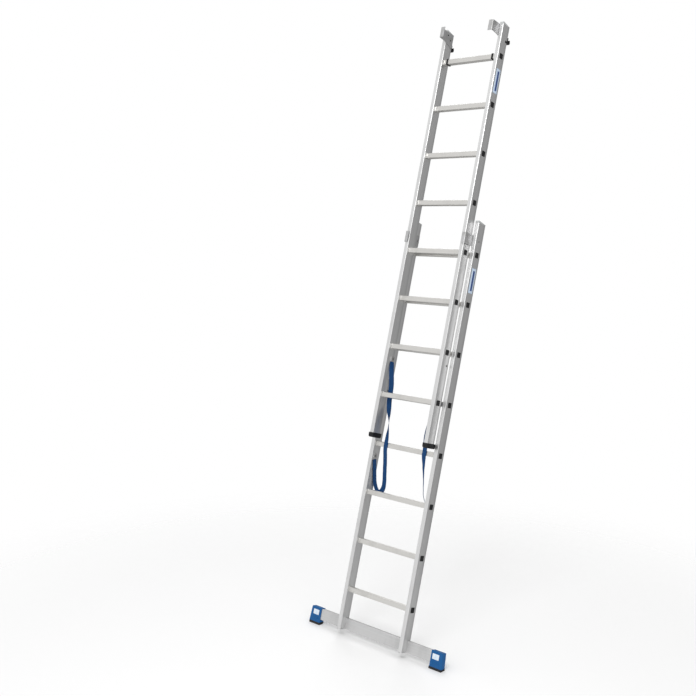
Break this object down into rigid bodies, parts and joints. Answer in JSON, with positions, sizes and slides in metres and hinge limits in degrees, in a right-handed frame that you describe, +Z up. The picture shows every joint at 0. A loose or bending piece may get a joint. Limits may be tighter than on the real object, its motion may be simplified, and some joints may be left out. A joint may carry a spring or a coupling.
{
  "type": "extension ladder",
  "caption": "Push-up aluminium extension ladder with a wide stabiliser bar, guide brackets, hinge hooks and webbing straps, leaning at its working angle.",
  "frame": {"origin": "on the floor, midway between the two rubber pads", "axes": "+X to the right as one faces the ladder to climb it, +Y from the climbing side to the wall, +Z up; the stiles lean back 14.5 degrees from +Z towards +Y"},
  "size_m": [0.9709, 0.8746, 3.4457],
  "materials": {
    "stile_aluminium": "extruded aluminium box section, satin",
    "rung_aluminium": "extruded aluminium tube with fine grip ribs",
    "bracket_steel": "bent zinc-plated sheet steel",
    "fastener_steel": "zinc-plated rivets and bolts",
    "black_plastic": "moulded black polyamide, fine texture",
    "grey_plastic": "moulded grey polypropylene",
    "blue_plastic": "moulded blue polypropylene",
    "black_rubber": "ribbed black rubber sole",
    "blue_webbing": "woven dark blue polyester webbing"
  },
  "bodies": {
    "lower_section": {"lower_guide_bracket_left": "bracket_steel", "lower_guide_bracket_right": "bracket_steel", "lower_rung_1": "rung_aluminium", "lower_rung_2": "rung_aluminium", "lower_rung_3": "rung_aluminium", "lower_rung_4": "rung_aluminium", "lower_rung_5": "rung_aluminium", "lower_rung_6": "rung_aluminium", "lower_rung_7": "rung_aluminium", "lower_rung_8": "rung_aluminium", "lower_stile_left": "stile_aluminium", "lower_stile_right": "stile_aluminium", "lower_strap_clamp_left": "bracket_steel", "lower_strap_clamp_right": "bracket_steel", "lower_strap_rivet_left": "fastener_steel", "lower_strap_rivet_right": "fastener_steel", "lower_top_cap_left": "grey_plastic", "lower_top_cap_right": "grey_plastic", "spreader_strap_left": "blue_webbing", "spreader_strap_right": "blue_webbing", "stabiliser_beam": "stile_aluminium", "stabiliser_bolt_left": "fastener_steel", "stabiliser_bolt_right": "fastener_steel", "stabiliser_clip_left": "bracket_steel", "stabiliser_clip_right": "bracket_steel", "stabiliser_end_cap_left": "blue_plastic", "stabiliser_end_cap_right": "blue_plastic", "stabiliser_pad_left": "black_rubber", "stabiliser_pad_right": "black_rubber"},
    "upper_section": {"catch_pin_left": "fastener_steel", "catch_pin_right": "fastener_steel", "top_rung_ring_left": "black_plastic", "top_rung_ring_right": "black_plastic", "upper_foot_left": "black_plastic", "upper_foot_right": "black_plastic", "upper_guide_bracket_left": "bracket_steel", "upper_guide_bracket_right": "bracket_steel", "upper_hinge_hook_left": "black_plastic", "upper_hinge_hook_right": "black_plastic", "upper_rung_1": "rung_aluminium", "upper_rung_2": "rung_aluminium", "upper_rung_3": "rung_aluminium", "upper_rung_4": "rung_aluminium", "upper_rung_5": "rung_aluminium", "upper_rung_6": "rung_aluminium", "upper_rung_7": "rung_aluminium", "upper_rung_8": "rung_aluminium", "upper_stile_left": "stile_aluminium", "upper_stile_right": "stile_aluminium", "upper_strap_clamp_left": "bracket_steel", "upper_strap_clamp_right": "bracket_steel", "upper_strap_rivet_left": "fastener_steel", "upper_strap_rivet_right": "fastener_steel", "upper_top_cap_left": "grey_plastic", "upper_top_cap_right": "grey_plastic"},
    "catch_left": {"rung_catch_left": "bracket_steel"},
    "catch_right": {"rung_catch_right": "bracket_steel"}
  },
  "joints": [
    {"name": "extension_slide", "type": "slide", "parent": "lower_section", "child": "upper_section", "axis": [0, 0.2504, 0.9681], "range_m": [-1.12, 0.28], "deforming": ["spreader_strap_left", "spreader_strap_right"]},
    {"name": "catch_left_swing", "type": "hinge", "parent": "upper_section", "child": "catch_left", "pos_m": [-0.182, 0.2903, 1.37015], "axis": [1, 0, 0], "range_deg": [-100, 0]},
    {"name": "catch_right_swing", "type": "hinge", "parent": "upper_section", "child": "catch_right", "pos_m": [0.182, 0.2903, 1.37015], "axis": [1, 0, 0], "range_deg": [-100, 0]}
  ]
}
